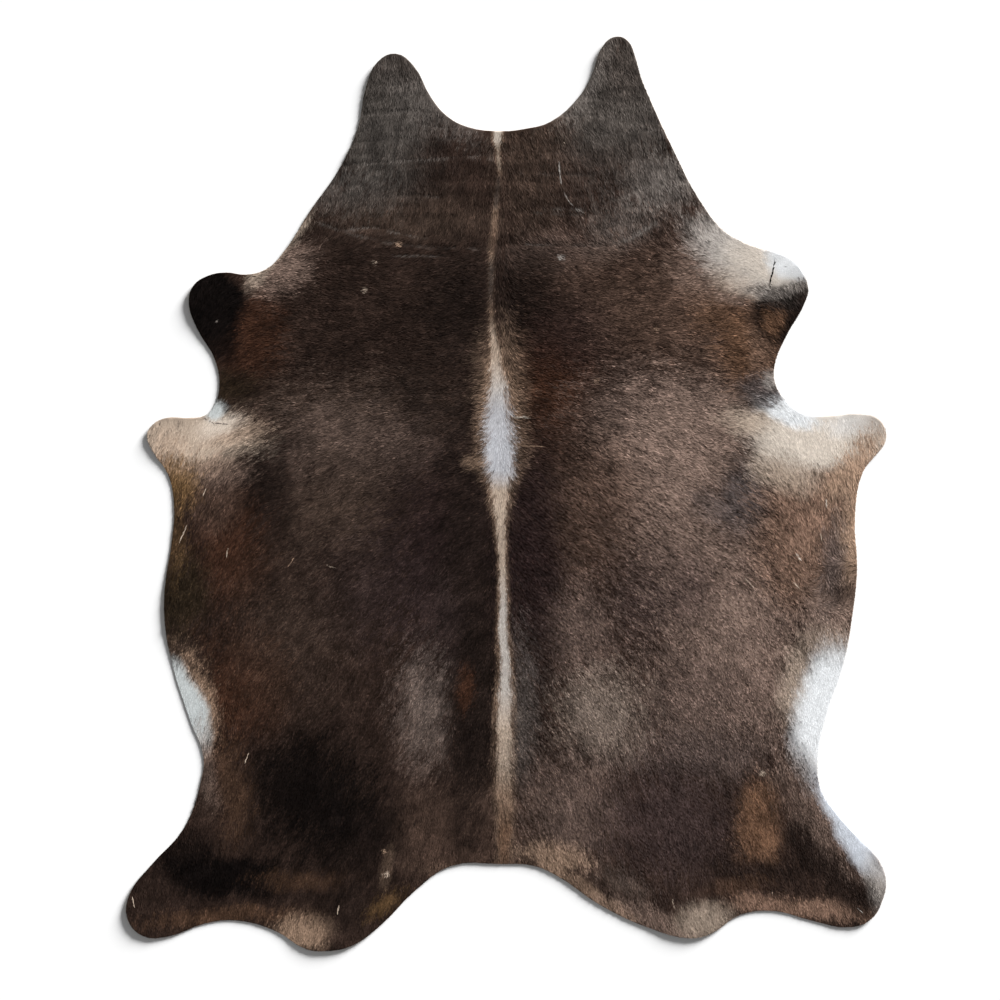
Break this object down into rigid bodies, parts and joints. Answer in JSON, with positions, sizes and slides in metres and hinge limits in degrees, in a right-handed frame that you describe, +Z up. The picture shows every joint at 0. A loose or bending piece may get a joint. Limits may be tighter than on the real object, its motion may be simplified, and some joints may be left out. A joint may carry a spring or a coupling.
{
  "type": "cowhide rug",
  "caption": "Whole tanned cowhide with its short hair on, laid flat as a rug: neck points, front lobes, belly and hind legs, dark brown with a pale line along the spine.",
  "frame": {"origin": "middle of the outline's bounding box, on the floor", "axes": "+X to the right hand of someone at the tail who looks at the neck, +Y towards the neck, +Z up out of the hair side"},
  "size_m": [1.87, 2.25, 0.0158],
  "materials": {
    "hair_on_hide": "short smooth dark brown cattle hair on tanned skin, pale spine line and pale belly edges, bare suede underside"
  },
  "bodies": {
    "root": {"hide": "hair_on_hide"}
  },
  "joints": []
}
